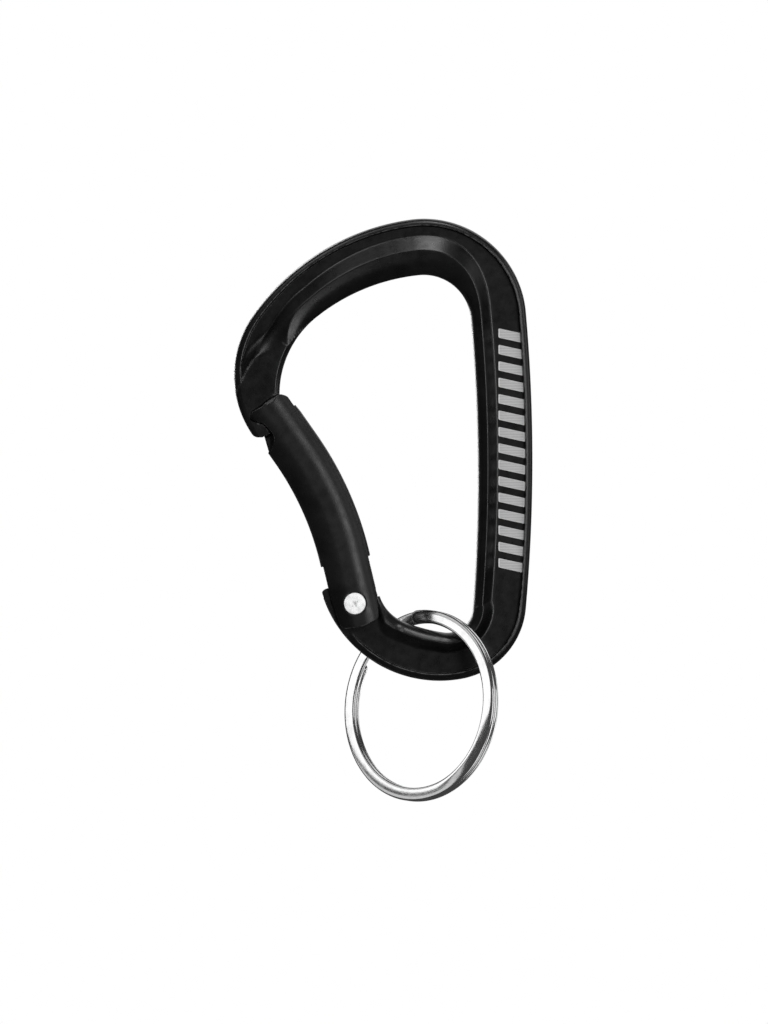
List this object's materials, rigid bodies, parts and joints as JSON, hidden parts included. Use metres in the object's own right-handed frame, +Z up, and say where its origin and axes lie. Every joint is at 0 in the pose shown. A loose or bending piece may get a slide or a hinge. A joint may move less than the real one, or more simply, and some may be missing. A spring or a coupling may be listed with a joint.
{
  "type": "carabiner keyring",
  "caption": "Small bent-gate snap hook with a keylock nose, a sprung gate on a rivet and a split key ring hanging from its lower bar.",
  "frame": {"origin": "inner apex of the upper curve, in the middle of the thickness, where the carabiner hangs on a peg or a belt loop", "axes": "+Z up along the spine, +X from the gate side towards the spine, +Y through the thickness towards the back"},
  "size_m": [0.0388, 0.0168, 0.0758],
  "materials": {
    "anodised_frame": "satin black anodised aluminium",
    "anodised_gate": "satin black anodised aluminium",
    "rivet_steel": "bright peened stainless steel",
    "spring_steel": "drawn stainless spring steel",
    "polished_steel": "bright nickel-plated steel"
  },
  "bodies": {
    "frame": {"frame": "anodised_frame"},
    "gate": {"gate": "anodised_gate", "gate_rivet": "rivet_steel", "gate_spring": "spring_steel"},
    "plunger": {"spring_plunger": "spring_steel"},
    "key_ring": {"key_ring": "polished_steel"}
  },
  "joints": [
    {"name": "gate_hinge", "type": "hinge", "parent": "frame", "child": "gate", "pos_m": [-0.00911, 0, -0.04277], "axis": [0, 1, 0], "range_deg": [0, 48], "stiffness_Nm_per_rad": 0.04, "springref_deg": -40.11},
    {"name": "plunger_slide", "type": "slide", "parent": "gate", "child": "plunger", "axis": [-0.2334, 0, 0.9724], "range_m": [0, 0.0007], "deforming": ["gate_spring"]},
    {"name": "ring_swing", "type": "hinge", "parent": "frame", "child": "key_ring", "pos_m": [-0.00014, -0.00057, -0.0502], "axis": [0.9063, 0.4226, 0], "range_deg": [-50, 38]}
  ],
  "couplings": [
    {"joint": "plunger_slide", "follows": "gate_hinge", "m_per_rad": 0.0008}
  ]
}
